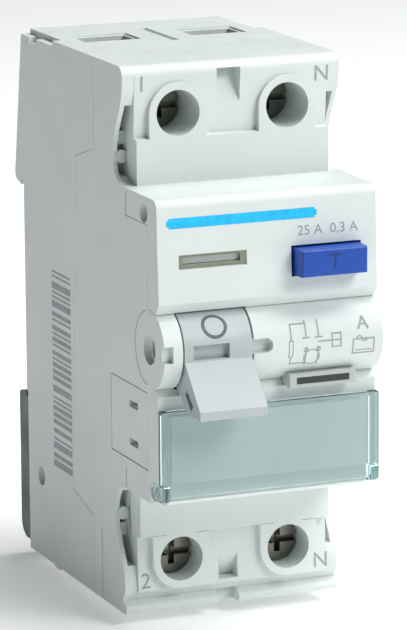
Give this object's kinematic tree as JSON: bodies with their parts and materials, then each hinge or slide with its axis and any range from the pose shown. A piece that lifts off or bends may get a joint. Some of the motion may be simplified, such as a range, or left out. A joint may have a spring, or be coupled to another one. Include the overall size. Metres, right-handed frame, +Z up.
{
  "type": "residual current device",
  "caption": "Two-module rail-mounted residual current device with toggle, test button, label flap, rail clip, screw terminals and full trip mechanism.",
  "frame": {"origin": "centre line of the 35 mm rail on the plane where the housing's back seats on the rail", "axes": "+X right seen from the front, +Y back towards the rail, +Z up"},
  "size_m": [0.035, 0.0696, 0.0857],
  "materials": {
    "black_plastic": "moulded",
    "blue_button": "satin blue",
    "card": "matt white card",
    "clear_flap": "clear moulded plastic with a faint teal tint",
    "clear_lens": "clear moulded plastic",
    "copper": "bare copper alloy",
    "core_metal": "wound nanocrystalline strip",
    "dark_clip": "dark grey glass-filled nylon",
    "dark_flag": "dark grey",
    "housing": "fine satin moulded thermoplastic, light grey-white",
    "magnet": "sintered ferrite",
    "natural_plastic": "unpigmented nylon",
    "olive_flag": "dark olive",
    "resistor_body": "lacquered",
    "silver": "silver contact metal",
    "spring_steel": "drawn wire",
    "steel": "bright stamped",
    "toggle_plastic": "satin light grey",
    "winding": "enamelled copper wire",
    "wire_line": "brown insulation",
    "wire_neutral": "blue insulation",
    "zinc_steel": "zinc-plated steel"
  },
  "bodies": {
    "root": {"clip_spring": "spring_steel", "contact_lens": "clear_lens", "core_case": "black_plastic", "fixed_tips": "silver", "front_cover": "housing", "front_plate": "housing", "indicator_lens": "clear_lens", "label_card": "card", "lever_pins": "steel", "line_arc_plates": "steel", "line_in_bar": "copper", "line_load_contact": "copper", "line_out_bar": "copper", "line_wire": "wire_line", "mechanism_frame": "steel", "neutral_arc_plates": "steel", "neutral_in_bar": "copper", "neutral_load_contact": "copper", "neutral_out_bar": "copper", "neutral_wire": "wire_neutral", "rear_base": "housing", "relay_bobbin": "natural_plastic", "relay_case": "black_plastic", "relay_coil": "winding", "relay_magnet": "magnet", "relay_yoke": "steel", "sensing_core": "core_metal", "sensing_winding": "winding", "side_panel": "housing", "test_contact_strip": "copper", "test_resistor": "resistor_body", "toggle_shaft": "steel", "toggle_spring": "spring_steel"},
    "toggle": {"toggle_lever": "toggle_plastic", "crank_pin": "steel"},
    "link": {"toggle_link": "steel"},
    "carrier": {"contact_carrier": "black_plastic", "contact_flag": "dark_flag", "line_bridge": "copper", "neutral_bridge": "copper", "bridge_springs": "spring_steel", "moving_tips": "silver"},
    "indicator": {"indicator_flag": "olive_flag"},
    "test_button": {"test_button": "blue_button", "test_button_spring": "spring_steel"},
    "label_flap": {"label_flap": "clear_flap"},
    "rail_clip": {"din_clip": "dark_clip", "clip_pull_bar": "natural_plastic"},
    "trip_lever": {"trip_lever": "natural_plastic"},
    "latch_lever": {"latch_lever": "steel"},
    "relay_armature": {"relay_armature": "steel", "relay_plunger": "natural_plastic"},
    "line_top_screw": {"line_top_screw": "zinc_steel"},
    "line_top_cage": {"line_top_cage": "zinc_steel"},
    "line_bottom_screw": {"line_bottom_screw": "zinc_steel"},
    "line_bottom_cage": {"line_bottom_cage": "zinc_steel"},
    "neutral_top_screw": {"neutral_top_screw": "zinc_steel"},
    "neutral_top_cage": {"neutral_top_cage": "zinc_steel"},
    "neutral_bottom_screw": {"neutral_bottom_screw": "zinc_steel"},
    "neutral_bottom_cage": {"neutral_bottom_cage": "zinc_steel"}
  },
  "joints": [
    {"name": "toggle_turn", "type": "hinge", "parent": "root", "child": "toggle", "pos_m": [-0.009, -0.0535, 0.0011], "axis": [-1, 0, 0], "range_deg": [0, 78]},
    {"name": "link_turn", "type": "hinge", "parent": "toggle", "child": "link", "pos_m": [-0.009, -0.05039, 0.00362], "axis": [-1, 0, 0], "range_deg": [-80, 1]},
    {"name": "carrier_slide", "type": "slide", "parent": "root", "child": "carrier", "axis": [0, 0, -1], "range_m": [0, 0.005]},
    {"name": "indicator_slide", "type": "slide", "parent": "root", "child": "indicator", "axis": [0, 0, -1], "range_m": [0, 0.0019]},
    {"name": "test_button_push", "type": "slide", "parent": "root", "child": "test_button", "axis": [0, 1, 0], "range_m": [0, 0.002], "stiffness_N_per_m": 500, "springref_m": -0.001},
    {"name": "label_flap_hinge", "type": "hinge", "parent": "root", "child": "label_flap", "pos_m": [0, -0.0548, -0.0204], "axis": [1, 0, 0], "range_deg": [0, 100]},
    {"name": "rail_clip_slide", "type": "slide", "parent": "root", "child": "rail_clip", "axis": [0, 0, -1], "range_m": [0, 0.004], "stiffness_N_per_m": 1200, "springref_m": -0.001, "deforming": ["clip_spring"]},
    {"name": "trip_lever_turn", "type": "hinge", "parent": "root", "child": "trip_lever", "pos_m": [-0.0055, -0.0315, 0.0115], "axis": [-1, 0, 0], "range_deg": [0, 12.5]},
    {"name": "latch_lever_turn", "type": "hinge", "parent": "root", "child": "latch_lever", "pos_m": [-0.0086, -0.038, 0.016], "axis": [-1, 0, 0], "range_deg": [0, 10.5]},
    {"name": "armature_slide", "type": "slide", "parent": "root", "child": "relay_armature", "axis": [0, 1, 0], "range_m": [0, 0.0012], "stiffness_N_per_m": 30, "springref_m": -0.005},
    {"name": "line_top_screw_turn", "type": "hinge", "parent": "root", "child": "line_top_screw", "pos_m": [-0.0088, -0.03, 0.0342], "axis": [0, 1, 0], "range_deg": [0, 1800]},
    {"name": "line_top_cage_slide", "type": "slide", "parent": "root", "child": "line_top_cage", "axis": [0, -1, 0], "range_m": [0, 0.004]},
    {"name": "line_bottom_screw_turn", "type": "hinge", "parent": "root", "child": "line_bottom_screw", "pos_m": [-0.0088, -0.03, -0.0342], "axis": [0, 1, 0], "range_deg": [0, 1800]},
    {"name": "line_bottom_cage_slide", "type": "slide", "parent": "root", "child": "line_bottom_cage", "axis": [0, -1, 0], "range_m": [0, 0.004]},
    {"name": "neutral_top_screw_turn", "type": "hinge", "parent": "root", "child": "neutral_top_screw", "pos_m": [0.0088, -0.03, 0.0342], "axis": [0, 1, 0], "range_deg": [0, 1800]},
    {"name": "neutral_top_cage_slide", "type": "slide", "parent": "root", "child": "neutral_top_cage", "axis": [0, -1, 0], "range_m": [0, 0.004]},
    {"name": "neutral_bottom_screw_turn", "type": "hinge", "parent": "root", "child": "neutral_bottom_screw", "pos_m": [0.0088, -0.03, -0.0342], "axis": [0, 1, 0], "range_deg": [0, 1800]},
    {"name": "neutral_bottom_cage_slide", "type": "slide", "parent": "root", "child": "neutral_bottom_cage", "axis": [0, -1, 0], "range_m": [0, 0.004]}
  ],
  "couplings": [
    {"joint": "toggle_turn", "follows": "carrier_slide", "rad_per_m": 272.2},
    {"joint": "link_turn", "follows": "carrier_slide", "rad_per_m": -272.2},
    {"joint": "indicator_slide", "follows": "carrier_slide", "ratio": 0.36},
    {"joint": "trip_lever_turn", "follows": "armature_slide", "rad_per_m": 181.8},
    {"joint": "latch_lever_turn", "follows": "armature_slide", "rad_per_m": 145.4},
    {"joint": "line_top_screw_turn", "follows": "line_top_cage_slide", "rad_per_m": 7853.9},
    {"joint": "line_bottom_screw_turn", "follows": "line_bottom_cage_slide", "rad_per_m": 7853.9},
    {"joint": "neutral_top_screw_turn", "follows": "neutral_top_cage_slide", "rad_per_m": 7853.9},
    {"joint": "neutral_bottom_screw_turn", "follows": "neutral_bottom_cage_slide", "rad_per_m": 7853.9}
  ]
}
